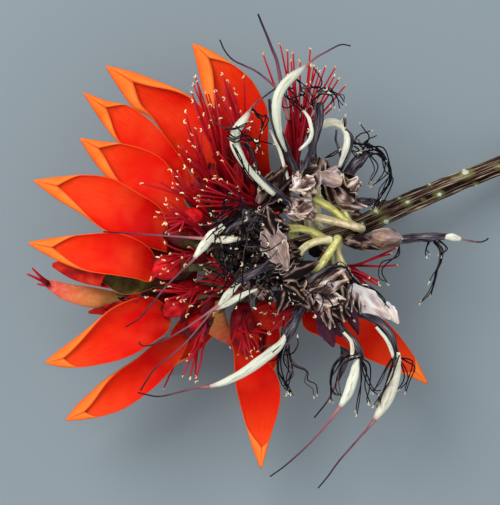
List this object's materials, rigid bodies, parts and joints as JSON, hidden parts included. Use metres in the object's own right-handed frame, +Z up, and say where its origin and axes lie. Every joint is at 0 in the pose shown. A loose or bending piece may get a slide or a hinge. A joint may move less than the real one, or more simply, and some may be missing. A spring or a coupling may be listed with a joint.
{
  "type": "coral tree flower spike",
  "caption": "Cut flowering spike of a coral tree lying down: woody stalk, crown of scarlet boat-shaped flowers, withered flowers with young pods.",
  "frame": {"origin": "under the middle of the spike, on the surface it lies on", "axes": "+X roughly along the stalk to its cut end, +Z up"},
  "size_m": [0.2254, 0.2034, 0.1104],
  "materials": {
    "stalk_bark": "matt, finely ridged grey-brown bark with pale scars",
    "scarlet_petal": "satin scarlet petals, orange outside, crimson keels and stamens",
    "dried_flower": "matt grey-brown papery calyces, slate tubes, pale felted pods"
  },
  "bodies": {
    "root": {"stalk": "stalk_bark", "bloom_01": "scarlet_petal", "bloom_02": "scarlet_petal", "bloom_03": "scarlet_petal", "bloom_04": "scarlet_petal", "bloom_05": "scarlet_petal", "bloom_06": "scarlet_petal", "bloom_07": "scarlet_petal", "bloom_08": "scarlet_petal", "bloom_09": "scarlet_petal", "bloom_10": "scarlet_petal", "bloom_11": "scarlet_petal", "bloom_12": "scarlet_petal", "bloom_13": "scarlet_petal", "bloom_14": "scarlet_petal", "bloom_15": "scarlet_petal", "bloom_16": "scarlet_petal", "bloom_17": "scarlet_petal", "bloom_18": "scarlet_petal", "bloom_19": "scarlet_petal", "bloom_20": "scarlet_petal", "withered_01": "dried_flower", "withered_02": "dried_flower", "withered_03": "dried_flower", "withered_04": "dried_flower", "withered_05": "dried_flower", "withered_06": "dried_flower", "withered_07": "dried_flower", "withered_08": "dried_flower", "withered_09": "dried_flower", "withered_10": "dried_flower", "withered_11": "dried_flower", "withered_12": "dried_flower", "withered_13": "dried_flower", "withered_14": "dried_flower", "withered_15": "dried_flower"}
  },
  "joints": []
}
